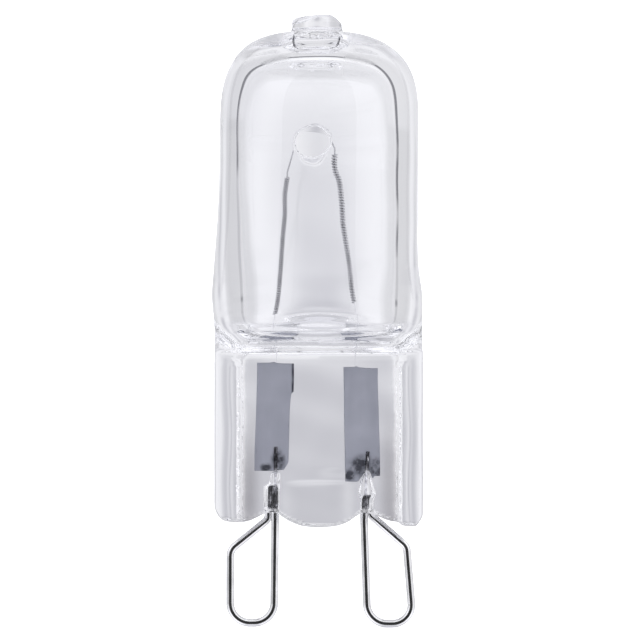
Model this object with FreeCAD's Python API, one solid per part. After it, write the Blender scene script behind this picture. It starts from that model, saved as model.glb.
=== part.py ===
import FreeCAD, Part
import math
import os

V = FreeCAD.Vector

# ---------------------------------------------------------------------------
# Driving dimensions, in millimetres.
# Frame: +Z along the lamp axis towards the exhaust tip, pins down (-Z),
# X across the two pins, -Y is the front face of the press seal.
# Origin: midway between the two pins, where they leave the press seal.
# ---------------------------------------------------------------------------

# --- pins -------------------------------------------------------------------
PIN_PITCH = 9.0            # centre to centre of the two wire loops
WIRE_R = 0.26              # pin wire radius
SLIM_R = 0.115             # radius of the strand that is welded to the foil
SLIM_CONE = 0.16           # length over which the wire narrows to it
LEFT_SLIM_Z = 1.64         # height at which the left wire starts to narrow
RIGHT_SLIM_Z = 0.93        # height at which the right wire starts to narrow
WIRE_CLEAR = 0.04          # capillary gap between pin wire and quartz
LOOP_ENTRY_R = 0.60        # bend radius where the returning leg enters the seal
LEFT_BENDS = [1.38, 1.38, 0.85, LOOP_ENTRY_R]          # bottom, bottom, shoulder, entry
RIGHT_BENDS = [8.00, 1.36, 1.36, 0.75, LOOP_ENTRY_R]   # slight bend of the straight leg, then as on the left
# centre line of each wire as (x from its loop's own centre, y, z); first the strand welded to the foil, then the returning one
LEFT_INNER = [(1.60, 0.0, 4.33), (1.46, 0.0, -7.37)]
LEFT_OUTER = [(-1.45, 0.0, -7.37), (-1.44, 0.0, -2.52), (1.08, 0.36, -0.50), (1.14, 0.36, 1.67)]
RIGHT_INNER = [(-1.30, 0.0, 4.00), (-1.55, 0.0, -0.20), (-1.31, 0.0, -7.43)]
RIGHT_OUTER = [(1.72, 0.0, -7.43), (1.30, 0.0, -2.30), (-1.19, 0.44, -0.14), (-1.14, 0.44, 0.93)]

# --- press seal ---------------------------------------------------------------
SEAL_TOP = 10.2            # the pressed length runs from here down
SEAL_BOTTOM = -1.2         # blank length before the end is trimmed to shape
RAIL_HALF_T = 2.05         # half thickness of the two edge rails
FLAT_HALF_T = 1.75         # half thickness of the pressed flat between them
FLAT_HALF_W = 5.30         # half width of the pressed flat
FLAT_TOP = 10.66           # upper edge of the pressed flat
FLAT_CORNER = 0.70         # corner radius of the pressed flat, front view
# wall round the pressed flat: (offset outwards from its outline, height above the flat)
FLAT_WALL = [(-0.30, 0.00), (-0.05, 0.09), (0.20, 0.25), (0.42, 0.50), (0.55, 0.92), (0.70, 1.72), (0.85, 2.90), (0.97, 4.09)]

# lower end of the seal, front view: scallops at the wires, a bulge between them
SEAL_END = [(-7.20, 1.30), (-6.92, 0.30), (-6.60, -0.28), (-6.20, -0.50), (-5.60, -0.57), (-5.10, -0.57), (-4.63, -0.48),
            (-4.10, -0.24), (-3.50, 0.03), (-3.17, 0.08), (-2.83, 0.02), (-2.43, -0.24), (-1.96, -0.53), (-0.97, -0.86),
            (-0.03, -0.93), (1.03, -0.84), (1.90, -0.55), (2.43, -0.18), (2.83, 0.00), (3.36, 0.00),
            (4.03, -0.26), (4.70, -0.50), (5.15, -0.57), (5.50, -0.78), (5.90, -0.85), (6.35, -0.83),
            (6.62, -0.52), (6.90, 0.00), (7.25, 1.10)]

# --- bulb: outer skin sections (z, centre x, half width x, half depth y, squareness)
BULB_R = 6.63
OUTER = [
    (SEAL_TOP, -0.05, 6.92, RAIL_HALF_T, 16.0),
    (10.6, -0.06, 6.92, 2.08, 14.0),
    (10.9, -0.06, 6.92, 2.38, 5.2),
    (11.15, -0.06, 6.92, 3.10, 3.0),
    (11.4, -0.06, 6.93, 4.05, 2.28),
    (11.7, -0.07, 6.93, 5.00, 2.00),
    (12.0, -0.07, 6.94, 5.65, 1.92),
    (12.4, -0.08, 6.95, 6.15, 1.94),
    (12.9, -0.09, 6.97, 6.42, 1.97),
    (13.5, -0.12, 7.00, 6.54, 2.0),
    (14.2, -0.15, 7.03, 6.59, 2.0),
    (14.8, -0.18, 7.00, 6.60, 2.0),
    (15.5, -0.20, 6.92, 6.60, 2.0),
    (16.4, -0.22, 6.83, 6.61, 2.0),
    (17.6, -0.20, 6.76, 6.62, 2.0),
    (19.5, -0.13, 6.69, BULB_R, 2.0),
    (22.0, -0.07, 6.64, BULB_R, 2.0),
    (25.0, -0.02, BULB_R, BULB_R, 2.0),
]
# dome on top of it: start, height, squareness of its profile, sideways drift of its centre (z, x)
DOME_Z, DOME_H, DOME_P = 25.5, 6.50, 2.95
DOME_DRIFT = [(25.0, -0.02), (29.0, 0.0), (30.5, -0.05), (31.5, -0.15)]
DOME_STEPS = [0.20, 0.38, 0.52, 0.63, 0.72, 0.79, 0.85, 0.895, 0.93, 0.955, 0.974, 0.987, 0.996]

# --- cavity sections, same form -----------------------------------------------
CAVITY_R = 5.29
CAVITY = [
    (12.23, -0.03, 4.25, 3.10, 2.4),
    (12.35, -0.03, 4.68, 3.80, 2.35),
    (12.58, -0.03, 5.00, 4.42, 2.25),
    (12.98, -0.04, 5.18, 4.90, 2.12),
    (13.50, -0.05, 5.25, 5.16, 2.05),
    (14.20, -0.07, 5.28, 5.25, 2.02),
    (15.10, -0.09, CAVITY_R, 5.27, 2.0),
    (16.20, -0.11, CAVITY_R, 5.28, 2.0),
    (17.50, -0.12, CAVITY_R, 5.28, 2.0),
    (20.00, -0.12, CAVITY_R, CAVITY_R, 2.0),
    (23.00, -0.12, CAVITY_R, CAVITY_R, 2.0),
]
CAVITY_DOME_Z, CAVITY_DOME_H, CAVITY_DOME_P = 23.5, 6.67, 4.2
CAVITY_DRIFT = [(20.0, -0.12), (28.0, -0.10), (30.0, -0.16)]
CAVITY_STEPS = [0.30, 0.50, 0.63, 0.73, 0.80, 0.86, 0.905, 0.94, 0.963, 0.979, 0.990, 0.9965]

# --- exhaust tip ------------------------------------------------------------------
TIP_X = -0.17
TIP_PROFILE = [(0.0, 31.0), (1.72, 31.0), (1.66, 31.9), (1.69, 32.2), (1.62, 32.6), (1.42, 32.95), (1.05, 33.14), (0.0, 33.17)]
TIP_FACETS = [((0.75, 0.0, 33.10), (0.60, 0.0, 0.80)), ((-0.95, -0.2, 33.02), (-0.40, -0.30, 0.86))]   # melt facets: a point and the way it faces
MOUTH_R, MOUTH_Z = 8.20, 22.10     # shallow hollow left where the exhaust tube opened into the bulb: sphere radius and centre height

# --- the post through the bulb that carries the filament ----------------------
POST_X, POST_Z, POST_R = -0.43, 24.38, 1.00
POST_HALF_L = 5.9          # ends inside the bulb's wall

# --- foils ----------------------------------------------------------------------------
FOIL_T = 0.03
FOIL_Y = 0.105             # weld face of the foils, measured from the seal's mid plane
LEFT_FOIL = [(-4.16, 9.96), (-1.70, 9.92), (-1.72, 7.99), (-1.86, 7.95), (-2.04, 4.33), (-2.06, 3.46), (-2.43, 2.82), (-4.33, 2.76)]
RIGHT_FOIL = [(1.59, 9.69), (3.88, 9.59), (4.02, 2.44), (3.66, 2.43), (3.54, 2.28), (3.36, 2.66), (3.13, 2.90), (2.86, 2.50), (2.46, 2.05), (1.70, 2.03)]

# --- inner leads -----------------------------------------------------------------------
LEAD_R = 0.03
LEAD_BITE = 0.006          # flat worn on the lead where it is welded to the back of the foil
LEFT_LEAD = [(-2.90, 8.60), (-2.86, 11.10), (-3.06, 12.35), (-3.05, 13.12)]
RIGHT_LEAD = [(2.38, 8.40), (2.36, 11.10), (2.54, 12.65), (2.40, 13.95)]

# --- filament -------------------------------------------------------------------------
LEFT_COIL_R = 0.165
RIGHT_COIL_R = 0.195
STRAND_R = 0.045
LEFT_COIL = [(-3.05, 13.12), (-2.88, 14.12), (-2.70, 16.45), (-2.53, 18.12), (-2.33, 19.78), (-2.31, 21.11), (-2.13, 22.24)]
RIGHT_COIL = [(2.40, 13.95), (2.18, 14.99), (1.98, 16.38), (1.72, 17.92), (1.53, 19.25), (1.47, 20.58), (1.32, 22.11), (1.10, 22.60), (1.02, 23.28), (1.08, 23.81)]
BRIDGE = [(-2.14, 22.18), (-2.12, 22.60), (-1.72, 24.05), (-1.36, 25.20), (-0.43, 25.62), (0.60, 25.25), (1.08, 24.20), (1.078, 23.75)]


# ---------------------------------------------------------------------------
# helpers
# ---------------------------------------------------------------------------
def section(z, cx, a, b, n, count=72):
    """Closed superellipse curve at height z, with the same knots at every height."""
    pts = []
    for i in range(count):
        t = 2.0 * math.pi * i / count
        c, s = math.cos(t), math.sin(t)
        k = (abs(c) ** n + abs(s) ** n) ** (-1.0 / n)
        pts.append(V(cx + a * k * c, b * k * s, z))
    curve = Part.BSplineCurve()
    curve.interpolate(Points=pts, PeriodicFlag=True, Parameters=[float(i) for i in range(count + 1)])
    return Part.Wire([curve.toShape()])


def between(pairs, z):
    """Straight-line value at z through (z, value) pairs."""
    for (z0, v0), (z1, v1) in zip(pairs, pairs[1:]):
        if z <= z1:
            return v0 + (v1 - v0) * max(0.0, z - z0) / (z1 - z0)
    return pairs[-1][1]


def dome(start, height, power, radius, drift, steps):
    """Sections of a squarish dome."""
    rows = []
    for w in steps:
        z = start + w * height
        r = radius * (1.0 - w ** power) ** (1.0 / power)
        rows.append((z, between(drift, z), r, r, 2.0))
    return rows


def loft(rows):
    return Part.makeLoft([section(*r) for r in rows], True, False)


def rounded_path(points, radii):
    """Straight runs joined by tangent arcs."""
    pts = [V(*p) for p in points]
    edges, start = [], pts[0]
    for i in range(1, len(pts) - 1):
        a, b, c = pts[i - 1], pts[i], pts[i + 1]
        d1 = (b - a).normalize()
        d2 = (c - b).normalize()
        turn = d1.getAngle(d2)
        if turn < 1e-3:
            continue
        cut = radii[i] * math.tan(turn / 2.0)
        limit = 0.45 * min((b - a).Length, (c - b).Length)
        cut = min(cut, limit)
        r = cut / math.tan(turn / 2.0)
        p1 = b - d1 * cut
        p2 = b + d2 * cut
        bis = (d2 - d1).normalize()
        centre = b + bis * (r / math.cos(turn / 2.0))
        mid = centre - bis * r
        if (p1 - start).Length > 1e-6:
            edges.append(Part.makeLine(start, p1))
        edges.append(Part.Arc(p1, mid, p2).toShape())
        start = p2
    edges.append(Part.makeLine(start, pts[-1]))
    return Part.Wire(edges), (pts[1] - pts[0]).normalize(), pts[0]


def rod(points, radius, bend):
    radii = bend if isinstance(bend, list) else [bend] * len(points)
    path, d, p = rounded_path(points, radii)
    ring = Part.Wire([Part.makeCircle(radius, p, d)])
    return path.makePipeShell([ring], True, False)


def plate(outline, y0, y1):
    poly = Part.makePolygon([V(x, y0, z) for x, z in outline + outline[:1]])
    return Part.Face(poly).extrude(V(0, y1 - y0, 0))


def in_plane(points, y=0.0):
    return [(x, y, z) for x, z in points]


# ---------------------------------------------------------------------------
# pins: each is one wire, foil weld - loop - back into the seal
# ---------------------------------------------------------------------------
def at_height(a, b, z):
    """Point at height z on the line from a to b."""
    a, b = V(*a), V(*b)
    return a + (b - a) * ((a.z - z) / (a.z - b.z))


def loop(inner, outer, slim_z, bends):
    top, foot = V(*inner[0]), at_height(inner[0], inner[1], slim_z)
    up = (top - foot).normalize()
    wire = rod([tuple(foot)] + inner[1:] + outer, WIRE_R, [0.0] + bends + [0.0])
    wire = wire.fuse(Part.makeCone(WIRE_R, SLIM_R, SLIM_CONE, foot, up))
    return wire.fuse(Part.makeCylinder(SLIM_R, (top - foot).Length - SLIM_CONE, foot + up * SLIM_CONE, up))


def holes(inner, outer, slim_z):
    """Capillaries that the strands of a pin leave in the quartz: full wire, slim strand, returning wire."""
    top, foot = V(*inner[0]), at_height(inner[0], inner[1], slim_z)
    up = (top - foot).normalize()
    full = rod([tuple(foot + up * (SLIM_CONE + WIRE_CLEAR))] + inner[1:], WIRE_R + WIRE_CLEAR, [0.0] + [8.0] * (len(inner) - 2) + [0.0])
    slim = Part.makeCylinder(SLIM_R + WIRE_CLEAR, (top - foot).Length + WIRE_CLEAR, foot, up)
    end, before = V(*outer[-1]), V(*outer[-2])
    back = outer[1:-1] + [tuple(end + (end - before).normalize() * WIRE_CLEAR)]
    return full, slim, rod(back, WIRE_R + WIRE_CLEAR, [0.0, LOOP_ENTRY_R, 0.0])


def placed(points, centre):
    return [(centre + x, y, z) for x, y, z in points]


left_inner, left_outer = placed(LEFT_INNER, -PIN_PITCH / 2), placed(LEFT_OUTER, -PIN_PITCH / 2)
right_inner, right_outer = placed(RIGHT_INNER, PIN_PITCH / 2), placed(RIGHT_OUTER, PIN_PITCH / 2)
left_loop = loop(left_inner, left_outer, LEFT_SLIM_Z, LEFT_BENDS)
right_loop = loop(right_inner, right_outer, RIGHT_SLIM_Z, RIGHT_BENDS)
left_full, left_slim, left_return = holes(left_inner, left_outer, LEFT_SLIM_Z)
right_full, right_slim, right_return = holes(right_inner, right_outer, RIGHT_SLIM_Z)

# flats where the slim strands are welded on the front of the foils
left_cut = Part.makeBox(3.0, 2.0, 4.0, V(-4.6, FOIL_Y, 2.70))
right_cut = Part.makeBox(3.0, 2.0, 4.0, V(1.5, FOIL_Y, 2.00))
left_loop = left_loop.cut(left_cut)
right_loop = right_loop.cut(right_cut)
left_slim = left_slim.cut(left_cut)
right_slim = right_slim.cut(right_cut)

# ---------------------------------------------------------------------------
# foils
# ---------------------------------------------------------------------------
left_foil = plate(LEFT_FOIL, FOIL_Y, FOIL_Y + FOIL_T)
right_foil = plate(RIGHT_FOIL, FOIL_Y, FOIL_Y + FOIL_T)

# ---------------------------------------------------------------------------
# inner leads: on the back of the foil, up through the quartz, to the coil's end
# ---------------------------------------------------------------------------
LEAD_Y = FOIL_Y + FOIL_T + LEAD_R - LEAD_BITE


def lead(points):
    return rod([(x, LEAD_Y if z < 12.0 else 0.0, z) for x, z in points], LEAD_R, 0.3)


left_lead = lead(LEFT_LEAD).cut(left_foil)
right_lead = lead(RIGHT_LEAD).cut(right_foil)

# ---------------------------------------------------------------------------
# filament: the coiled legs at their outside diameter, and the plain strand over the post
# ---------------------------------------------------------------------------
filament = rod(in_plane(LEFT_COIL), LEFT_COIL_R, 1.5)
filament = filament.fuse(rod(in_plane(BRIDGE), STRAND_R, 0.35))
filament = filament.fuse(rod(in_plane(RIGHT_COIL), RIGHT_COIL_R, 1.0)).removeSplitter()
filament = filament.cut(left_lead).cut(right_lead)

# ---------------------------------------------------------------------------
# envelope
# ---------------------------------------------------------------------------
outer = loft(OUTER + dome(DOME_Z, DOME_H, DOME_P, BULB_R, DOME_DRIFT, DOME_STEPS))

seal = Part.Face(section(*OUTER[0])).extrude(V(0, 0, SEAL_BOTTOM - SEAL_TOP))
end_curve = Part.BSplineCurve()
end_curve.interpolate([V(x, -4.0, z) for x, z in SEAL_END])
below = Part.Wire([
    end_curve.toShape(),
    Part.makeLine(V(SEAL_END[-1][0], -4.0, SEAL_END[-1][1]), V(9.0, -4.0, 1.2)),
    Part.makeLine(V(9.0, -4.0, 1.2), V(9.0, -4.0, -4.0)),
    Part.makeLine(V(9.0, -4.0, -4.0), V(-9.0, -4.0, -4.0)),
    Part.makeLine(V(-9.0, -4.0, -4.0), V(-9.0, -4.0, 1.2)),
    Part.makeLine(V(-9.0, -4.0, 1.2), V(SEAL_END[0][0], -4.0, SEAL_END[0][1])),
])
seal = seal.cut(Part.Face(below).extrude(V(0, 8.0, 0)))
envelope = outer.fuse(seal)

# exhaust tip: melted stub with two sloped facets
tip_poly = Part.makePolygon([V(TIP_X + r, 0, z) for r, z in TIP_PROFILE + TIP_PROFILE[:1]])
tip = Part.Face(tip_poly).revolve(V(TIP_X, 0, 0), V(0, 0, 1), 360)
for point, facing in TIP_FACETS:
    slab = Part.makeBox(8.0, 8.0, 2.0, V(-4.0, -4.0, 0.0))
    slab.Placement = FreeCAD.Placement(V(*point), FreeCAD.Rotation(V(0, 0, 1), V(*facing)))
    tip = tip.cut(slab)
envelope = envelope.fuse(tip)


# pressed flats, front and back
def flat_outline(offset, y):
    w, top, r = FLAT_HALF_W + offset, FLAT_TOP + offset, FLAT_CORNER + offset
    k = r * (1.0 - math.sqrt(0.5))
    low = -4.0
    return Part.Wire([
        Part.makeLine(V(-w, y, low), V(-w, y, top - r)),
        Part.Arc(V(-w, y, top - r), V(-w + k, y, top - k), V(-w + r, y, top)).toShape(),
        Part.makeLine(V(-w + r, y, top), V(w - r, y, top)),
        Part.Arc(V(w - r, y, top), V(w - k, y, top - k), V(w, y, top - r)).toShape(),
        Part.makeLine(V(w, y, top - r), V(w, y, low)),
        Part.makeLine(V(w, y, low), V(-w, y, low)),
    ])


for side in (-1, 1):
    envelope = envelope.cut(Part.makeLoft([flat_outline(o, side * (FLAT_HALF_T + h)) for o, h in FLAT_WALL], True, True))

# cavity, with the exhaust mouth's hollow in its roof and the post left standing
cavity = loft(CAVITY + dome(CAVITY_DOME_Z, CAVITY_DOME_H, CAVITY_DOME_P, CAVITY_R, CAVITY_DRIFT, CAVITY_STEPS))
mouth = Part.makeSphere(MOUTH_R, V(TIP_X, 0, MOUTH_Z)).common(Part.makeBox(8.0, 8.0, 2.0, V(TIP_X - 4.0, -4.0, 29.5)))
cavity = cavity.fuse(mouth)
cavity = cavity.cut(Part.makeCylinder(POST_R, 2 * POST_HALF_L, V(POST_X, -POST_HALF_L, POST_Z), V(0, 1, 0)))
envelope = envelope.cut(cavity)

# pockets of the sealed-in metal
for piece in (left_foil, right_foil, left_lead, right_lead, left_full, right_full, left_slim, right_slim, left_return, right_return):
    envelope = envelope.cut(piece)

# ---------------------------------------------------------------------------
# export
# ---------------------------------------------------------------------------
os.makedirs("parts", exist_ok=True)
nodes = {
    "quartz_envelope": envelope,
    "filament_coil": filament,
    "inner_lead_left": left_lead,
    "inner_lead_right": right_lead,
    "seal_foil_left": left_foil,
    "seal_foil_right": right_foil,
    "contact_loop_left": left_loop,
    "contact_loop_right": right_loop,
}
for name, shape in nodes.items():
    solids = shape.Solids
    solid = max(solids, key=lambda s: s.Volume)
    print(name, "solids", len(solids), "valid", solid.isValid(), "closed", solid.isClosed(),
          "volume %.4f" % solid.Volume, [round(v, 3) for v in (solid.BoundBox.XMin, solid.BoundBox.YMin, solid.BoundBox.ZMin,
                                          solid.BoundBox.XMax, solid.BoundBox.YMax, solid.BoundBox.ZMax)])
    solid.exportStep("parts/%s.step" % name)
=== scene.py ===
import math

import bpy
import numpy as np
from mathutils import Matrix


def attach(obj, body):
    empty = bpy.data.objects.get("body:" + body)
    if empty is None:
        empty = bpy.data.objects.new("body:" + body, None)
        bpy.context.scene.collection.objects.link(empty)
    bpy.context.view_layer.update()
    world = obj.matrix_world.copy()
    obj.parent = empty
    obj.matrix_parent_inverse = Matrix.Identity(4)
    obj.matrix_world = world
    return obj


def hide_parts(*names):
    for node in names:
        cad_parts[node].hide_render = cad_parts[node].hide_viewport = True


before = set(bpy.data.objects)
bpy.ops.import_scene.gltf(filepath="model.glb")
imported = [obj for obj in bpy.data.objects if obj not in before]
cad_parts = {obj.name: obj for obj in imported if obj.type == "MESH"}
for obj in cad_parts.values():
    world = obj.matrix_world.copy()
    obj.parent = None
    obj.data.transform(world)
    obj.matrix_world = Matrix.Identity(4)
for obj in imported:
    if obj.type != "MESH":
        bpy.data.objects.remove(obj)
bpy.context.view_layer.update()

MM = 0.001
PI = math.pi


# ---------------------------------------------------------------------------
# small numeric helpers (all lengths in millimetres until a mesh is made)
# ---------------------------------------------------------------------------
class Curve:
    """Shape-preserving cubic through (position, value) pairs, constant outside them."""

    def __init__(self, pts):
        self.t = np.array([p[0] for p in pts], float)
        self.v = np.array([p[1] for p in pts], float)
        h = np.diff(self.t)
        d = np.diff(self.v) / h
        m = np.zeros(len(self.v))
        if len(self.v) > 2:
            w1, w2 = 2 * h[1:] + h[:-1], h[1:] + 2 * h[:-1]
            same = d[1:] * d[:-1] > 0
            lo = np.where(same, d[:-1], 1.0)
            hi = np.where(same, d[1:], 1.0)
            m[1:-1] = np.where(same, (w1 + w2) / (w1 / lo + w2 / hi), 0.0)
        self.m, self.h = m, h

    def _at(self, q):
        q = np.clip(q, self.t[0], self.t[-1])
        i = np.clip(np.searchsorted(self.t, q) - 1, 0, len(self.t) - 2)
        return i, (q - self.t[i]) / self.h[i]

    def __call__(self, q):
        i, s = self._at(q)
        s2, s3 = s * s, s * s * s
        return ((2 * s3 - 3 * s2 + 1) * self.v[i] + (s3 - 2 * s2 + s) * self.h[i] * self.m[i]
                + (3 * s2 - 2 * s3) * self.v[i + 1] + (s3 - s2) * self.h[i] * self.m[i + 1])

    def slope(self, q):
        i, s = self._at(q)
        s2 = s * s
        return ((6 * s2 - 6 * s) * (self.v[i] - self.v[i + 1]) / self.h[i]
                + (3 * s2 - 4 * s + 1) * self.m[i] + (3 * s2 - 2 * s) * self.m[i + 1])


def smax(a, b, k):
    h = np.maximum(k - np.abs(a - b), 0.0) / k
    return np.maximum(a, b) + h * h * k * 0.25


def smin(a, b, k):
    return -smax(-a, -b, k)


class Skin:
    """Tube of superellipse sections closed by a superellipsoid dome."""

    def __init__(self, rows, dome_z, dome_h, dome_p):
        self.c = Curve([(r[0], r[1]) for r in rows])
        self.a = Curve([(r[0], r[2]) for r in rows])
        self.b = Curve([(r[0], r[3]) for r in rows])
        self.n = Curve([(r[0], r[4]) for r in rows])
        self.dz, self.dh, self.dp = dome_z, dome_h, dome_p

    def __call__(self, x, y, z):
        a, b, n, c = self.a(z), self.b(z), self.n(z), self.c(z)
        da, db = self.a.slope(z), self.b.slope(z)
        u, v = np.abs(x - c) / a, np.abs(y) / b
        rho = (u ** n + v ** n) ** (1.0 / n) + 1e-9
        w = np.maximum(z - self.dz, 0.0) / self.dh
        p = self.dp
        big = (rho ** p + w ** p) ** (1.0 / p)
        gr = (rho / big) ** (p - 1)
        gu, gv = (u / rho) ** (n - 1), (v / rho) ** (n - 1)
        gx, gy = gr * gu / a, gr * gv / b
        gz = (w / big) ** (p - 1) / self.dh - gr * (gu * u * da / a + gv * v * db / b)
        return (big - 1.0) / np.sqrt(gx * gx + gy * gy + gz * gz + 1e-6)


# ---------------------------------------------------------------------------
# quartz envelope as one implicit shape
# ---------------------------------------------------------------------------
OUTER = Skin([
    (10.2, -0.05, 6.92, 2.05, 16.0),
    (10.6, -0.06, 6.92, 2.08, 14.0),
    (10.9, -0.06, 6.92, 2.38, 5.2),
    (11.15, -0.06, 6.92, 3.10, 3.0),
    (11.4, -0.06, 6.93, 4.05, 2.28),
    (11.7, -0.07, 6.93, 5.00, 2.00),
    (12.0, -0.07, 6.94, 5.65, 1.92),
    (12.4, -0.08, 6.95, 6.15, 1.94),
    (12.9, -0.09, 6.97, 6.42, 1.97),
    (13.5, -0.12, 7.00, 6.54, 2.0),
    (14.2, -0.15, 7.03, 6.59, 2.0),
    (14.8, -0.18, 7.00, 6.60, 2.0),
    (15.5, -0.20, 6.92, 6.60, 2.0),
    (16.4, -0.22, 6.83, 6.61, 2.0),
    (17.6, -0.20, 6.76, 6.62, 2.0),
    (19.5, -0.13, 6.69, 6.63, 2.0),
    (22.0, -0.07, 6.64, 6.63, 2.0),
    (25.0, -0.02, 6.63, 6.63, 2.0),
    (29.0, 0.00, 6.63, 6.63, 2.0),
    (30.5, -0.05, 6.63, 6.63, 2.0),
    (31.5, -0.15, 6.63, 6.63, 2.0),
], 25.5, 6.50, 2.95)

CAVITY = Skin([
    (12.23, -0.03, 4.25, 3.10, 2.4),
    (12.35, -0.03, 4.68, 3.80, 2.35),
    (12.58, -0.03, 5.00, 4.42, 2.25),
    (12.98, -0.04, 5.18, 4.90, 2.12),
    (13.50, -0.05, 5.25, 5.16, 2.05),
    (14.20, -0.07, 5.28, 5.25, 2.02),
    (15.10, -0.09, 5.29, 5.27, 2.0),
    (16.20, -0.11, 5.29, 5.28, 2.0),
    (17.50, -0.12, 5.29, 5.28, 2.0),
    (20.00, -0.12, 5.29, 5.29, 2.0),
    (28.00, -0.10, 5.29, 5.29, 2.0),
    (30.00, -0.16, 5.29, 5.29, 2.0),
], 23.5, 6.67, 4.2)

SEAL_END = Curve([(-7.20, 1.30), (-6.92, 0.30), (-6.60, -0.28), (-6.20, -0.50), (-5.60, -0.57), (-5.10, -0.57), (-4.63, -0.48),
                  (-4.10, -0.24), (-3.50, 0.03), (-3.17, 0.08), (-2.83, 0.02), (-2.43, -0.24), (-1.96, -0.53), (-0.97, -0.86),
                  (-0.03, -0.93), (1.03, -0.84), (1.90, -0.55), (2.43, -0.18), (2.83, 0.00), (3.36, 0.00),
                  (4.03, -0.26), (4.70, -0.50), (5.15, -0.57), (5.50, -0.78), (5.90, -0.85), (6.35, -0.83),
                  (6.62, -0.52), (6.90, 0.00), (7.25, 1.10)])
FLAT_T, FLAT_W, FLAT_TOP, FLAT_R = 1.75, 5.30, 10.66, 0.7
TIP_X, MOUTH_R, MOUTH_Z = -0.17, 8.20, 22.10
POST_X, POST_Z, POST_R = -0.43, 24.38, 1.00
# small beads at the mouth: direction in degrees, distance from its axis, radius
BEADS = ((5, 1.62, 0.20), (52, 1.45, 0.16), (101, 1.58, 0.22), (148, 1.50, 0.18), (193, 1.66, 0.24), (228, 1.46, 0.20),
         (262, 1.60, 0.17), (281, 1.52, 0.26), (312, 1.56, 0.19), (338, 1.70, 0.22))


def flat_ripple(x, z):
    """Shallow press marks on the flat, in millimetres of thickness."""
    return (0.012 * np.sin(1.9 * z + 0.6 * x) + 0.010 * np.sin(1.3 * x - 0.7 * z + 1.0)
            + 0.030 * (1.0 - np.tanh((z - 1.97 - 0.03 * x) / 0.13)) * np.exp(-((x + 0.15) / 2.1) ** 6)
            + 0.016 * (1.0 - np.tanh((z - 2.87) / 0.10)) * np.exp(-((x - 1.0) / 0.9) ** 2) * np.exp(-((z - 2.87) / 0.9) ** 2))


def outside(x, y, z):
    rail = np.clip((np.abs(x) - 5.45) / 0.25, 0.0, 1.0) * np.clip((10.3 - z) / 0.6, 0.0, 1.0)
    f = OUTER(x, y, z) + rail * (0.014 + 0.014 * np.sin(8.5 * x + 0.5 * np.sin(0.9 * z) + 1.4))
    # pressed flats between the two rails
    qx, qz = np.abs(x) - FLAT_W + FLAT_R, z - FLAT_TOP + FLAT_R
    d = np.hypot(np.maximum(qx, 0), np.maximum(qz, 0)) + np.minimum(np.maximum(qx, qz), 0) - FLAT_R
    d = d + 0.03 * np.sin(2.9 * z + 1.1 * np.sin(1.7 * z)) * np.sign(x) + 0.022 * np.sin(11.0 * z + 2.0 * np.sin(3.1 * z) + 0.8 * np.sign(x))
    # steep along the rails, soft towards the bulb
    steep = np.clip((10.2 - z) / 0.8, 0.0, 1.0)
    rise = (1.0 - steep) * 0.52 * (d + np.sqrt(d * d + 0.04)) + steep * 1.5 * (d + np.sqrt(d * d + 0.010)) + 8.0 * np.maximum(d - 0.35, 0.0) ** 2
    f = smax(f, 0.70 * (np.abs(y) - FLAT_T - flat_ripple(x, z) - rise), 0.30 - 0.18 * steep)
    # lower end
    f = smax(f, 0.85 * (SEAL_END(x) - z), 0.09)
    # exhaust tip, melted shut
    rt = np.hypot(x - TIP_X, y)
    tip = smax(rt - 1.69, z - 33.10 - 0.04 * np.sin(2.1 * x + 1.7 * y), 0.45)
    tip = smax(tip, 0.60 * (x - 0.75) + 0.80 * (z - 33.10), 0.15)
    tip = smax(tip, -0.40 * (x + 0.95) - 0.30 * (y + 0.2) + 0.86 * (z - 33.02), 0.10)
    tip = smax(tip, 31.2 - z, 0.3)
    return smin(f, tip, 0.30)


def inside(x, y, z):
    # blown glass is never quite even
    f = CAVITY(x, y, z) + 0.014 * np.sin(1.15 * x + 0.62 * z + 0.8) * np.sin(0.85 * z - 0.9 * x + 0.4 * y)
    f = smax(f, 12.20 - z, 0.2)
    rt = np.hypot(x - TIP_X, y)
    # what is left of the exhaust tube's mouth
    f = smin(f, smax(np.hypot(rt, z - MOUTH_Z) - MOUTH_R, 29.0 - z, 0.05), 0.03)
    for turn, out, size in BEADS:
        a = math.radians(turn)
        f = smax(f, size - np.sqrt((x - TIP_X - out * math.cos(a)) ** 2 + (y - out * math.sin(a)) ** 2 + (z - 30.16) ** 2), 0.06)
    # the post that the filament hangs over
    r = np.hypot(x - POST_X, z - POST_Z)
    turn = np.arctan2(z - POST_Z, x - POST_X)
    return smax(f, POST_R + 0.035 * np.sin(2.0 * turn + 0.5) + 0.025 * np.sin(5.0 * turn + 1.1) - r, 0.14)


def glass(x, y, z):
    return np.maximum(outside(x, y, z), -inside(x, y, z))


def gradient(f, p, e=0.01):
    x, y, z = p.T
    return np.stack([f(x + e, y, z) - f(x - e, y, z), f(x, y + e, z) - f(x, y - e, z), f(x, y, z + e) - f(x, y, z - e)], 1) / (2 * e)


def onto(f, p, steps, most):
    for _ in range(steps):
        g = gradient(f, p)
        move = -(f(*p.T) / np.maximum((g * g).sum(1), 0.05))[:, None] * g
        size = np.linalg.norm(move, axis=1, keepdims=True)
        p = p + move * np.minimum(1.0, most / np.maximum(size, 1e-9))
    return p


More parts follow.
